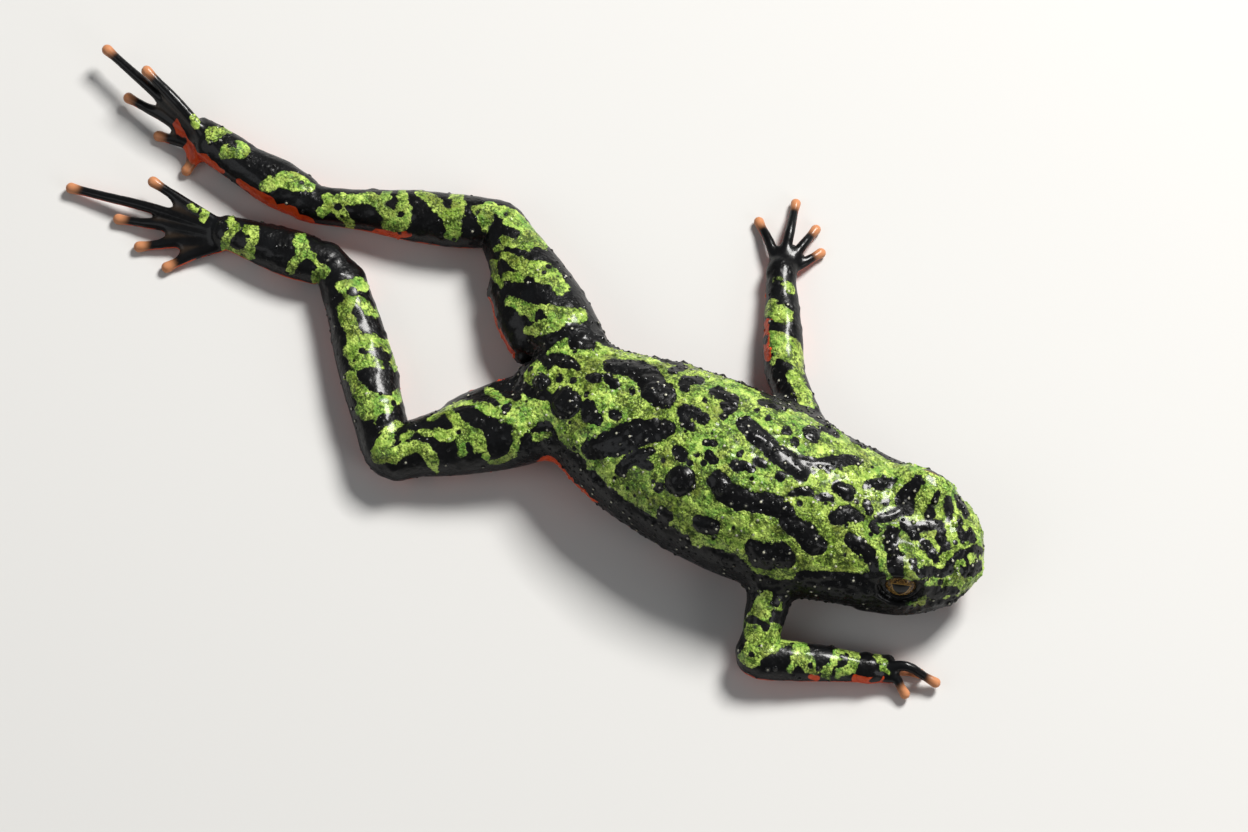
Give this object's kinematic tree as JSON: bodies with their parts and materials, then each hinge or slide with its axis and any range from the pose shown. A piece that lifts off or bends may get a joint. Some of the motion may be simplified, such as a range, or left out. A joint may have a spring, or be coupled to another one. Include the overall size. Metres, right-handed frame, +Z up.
{
  "type": "fire-bellied toad model",
  "caption": "Life-size still model of a fire-bellied toad in the spread pose of a floating one: warty green and black back, orange-red belly, resting on its belly.",
  "frame": {"origin": "middle of the plan of the bounding box, on the floor that the belly rests on", "axes": "+X towards the snout, +Y towards the toad's left, +Z up"},
  "size_m": [0.0956, 0.0454, 0.0123],
  "materials": {
    "skin": "wet warty skin, green with black blotches above, orange-red with black below",
    "eye": "wet, dark bronze iris with a black pupil"
  },
  "bodies": {
    "root": {"head": "skin", "torso": "skin", "upper_arm_left": "skin", "upper_arm_right": "skin", "forearm_left": "skin", "forearm_right": "skin", "hand_left": "skin", "hand_right": "skin", "thigh_left": "skin", "thigh_right": "skin", "shank_left": "skin", "shank_right": "skin", "tarsus_left": "skin", "tarsus_right": "skin", "foot_left": "skin", "foot_right": "skin", "eye_left": "eye", "eye_right": "eye"}
  },
  "joints": []
}
